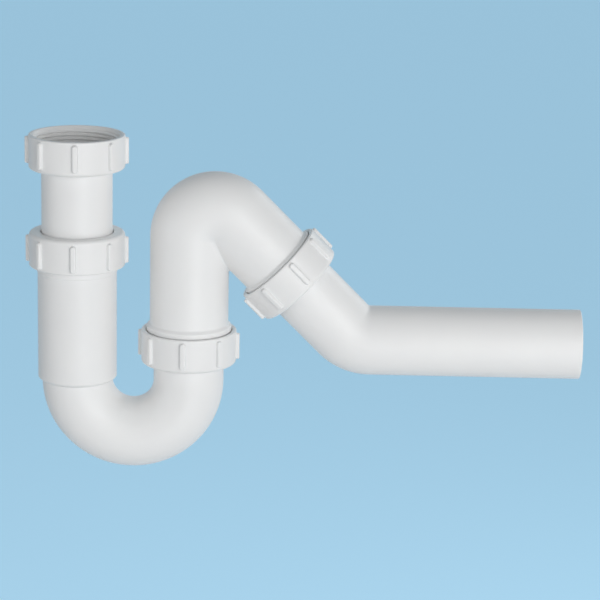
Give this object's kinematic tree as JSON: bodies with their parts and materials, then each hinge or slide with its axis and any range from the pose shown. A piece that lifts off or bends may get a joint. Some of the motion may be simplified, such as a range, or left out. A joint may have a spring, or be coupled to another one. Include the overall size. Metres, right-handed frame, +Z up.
{
  "type": "tubular trap",
  "caption": "Plastic tubular trap: telescopic threaded inlet, U-bend with water seal, swivel elbow, ribbed slip nuts and an outlet pipe that turns level.",
  "frame": {"origin": "on the inlet's axis, at the mouth of the inlet nut's thread", "axes": "+Z up along the inlet's axis, the way the basin waste leaves; +X towards the outlet; +Y to the back"},
  "size_m": [0.3187, 0.0588, 0.1952],
  "materials": {
    "white_moulded_plastic": "smooth satin white moulding, faint parting lines",
    "white_nut_plastic": "smooth satin white moulding, crisp ribs",
    "natural_ring_plastic": "natural slightly waxy ring",
    "seal_rubber": "matt black rubber"
  },
  "bodies": {
    "trap_body": {"body_sleeve": "white_moulded_plastic", "u_bend": "white_moulded_plastic"},
    "telescope_seal": {"telescope_seal": "seal_rubber"},
    "inlet_tube": {"inlet_tube": "white_moulded_plastic", "inlet_washer": "seal_rubber"},
    "inlet_nut": {"inlet_nut": "white_nut_plastic"},
    "telescope_ring": {"telescope_ring": "natural_ring_plastic"},
    "telescope_nut": {"telescope_nut": "white_nut_plastic"},
    "elbow_seal": {"elbow_seal": "seal_rubber"},
    "swivel_elbow": {"swivel_elbow": "white_moulded_plastic"},
    "elbow_ring": {"elbow_ring": "natural_ring_plastic"},
    "elbow_nut": {"elbow_nut": "white_nut_plastic"},
    "outlet_ring": {"outlet_ring": "natural_ring_plastic"},
    "outlet_nut": {"outlet_nut": "white_nut_plastic"},
    "outlet_seal": {"outlet_seal": "seal_rubber"},
    "outlet_pipe": {"outlet_pipe": "white_moulded_plastic"}
  },
  "joints": [
    {"name": "inlet_swivel", "type": "hinge", "parent": "trap_body", "child": "telescope_seal", "pos_m": [0, 0, -0.0638], "axis": [0, 0, 1], "continuous": true},
    {"name": "inlet_height", "type": "slide", "parent": "telescope_seal", "child": "inlet_tube", "axis": [0, 0, 1], "range_m": [-0.036, 0.024]},
    {"name": "inlet_nut_spin", "type": "hinge", "parent": "inlet_tube", "child": "inlet_nut", "pos_m": [0, 0, 0], "axis": [0, 0, 1], "continuous": true},
    {"name": "telescope_nut_turn", "type": "hinge", "parent": "telescope_ring", "child": "telescope_nut", "pos_m": [0, 0, -0.0557], "axis": [0, 0, 1], "range_deg": [0, 1440]},
    {"name": "telescope_nut_travel", "type": "slide", "parent": "trap_body", "child": "telescope_ring", "axis": [0, 0, 1], "range_m": [0, 0.0093]},
    {"name": "elbow_height", "type": "slide", "parent": "trap_body", "child": "elbow_seal", "axis": [0, 0, 1], "range_m": [-0.008, 0.024]},
    {"name": "elbow_swivel", "type": "hinge", "parent": "elbow_seal", "child": "swivel_elbow", "pos_m": [0.06425, 0, -0.1235], "axis": [0, 0, 1], "range_deg": [-120, 120]},
    {"name": "elbow_nut_turn", "type": "hinge", "parent": "elbow_ring", "child": "elbow_nut", "pos_m": [0.06425, 0, -0.1316], "axis": [0, 0, -1], "range_deg": [0, 1440]},
    {"name": "elbow_nut_travel", "type": "slide", "parent": "swivel_elbow", "child": "elbow_ring", "axis": [0, 0, -1], "range_m": [0, 0.0093]},
    {"name": "outlet_nut_turn", "type": "hinge", "parent": "outlet_ring", "child": "outlet_nut", "pos_m": [0.12252, 0, -0.07976], "axis": [0.7071, 0, -0.7071], "range_deg": [0, 1440]},
    {"name": "outlet_nut_travel", "type": "slide", "parent": "swivel_elbow", "child": "outlet_ring", "axis": [0.7071, 0, -0.7071], "range_m": [0, 0.0093]},
    {"name": "outlet_swivel", "type": "hinge", "parent": "swivel_elbow", "child": "outlet_seal", "pos_m": [0.12252, 0, -0.07976], "axis": [0.7071, 0, -0.7071], "continuous": true},
    {"name": "outlet_reach", "type": "slide", "parent": "outlet_seal", "child": "outlet_pipe", "axis": [0.7071, 0, -0.7071], "range_m": [-0.018, 0.012]}
  ],
  "couplings": [
    {"joint": "telescope_nut_travel", "follows": "telescope_nut_turn", "m_per_rad": 0.00036749},
    {"joint": "elbow_nut_travel", "follows": "elbow_nut_turn", "m_per_rad": 0.00036749},
    {"joint": "outlet_nut_travel", "follows": "outlet_nut_turn", "m_per_rad": 0.00036749}
  ]
}
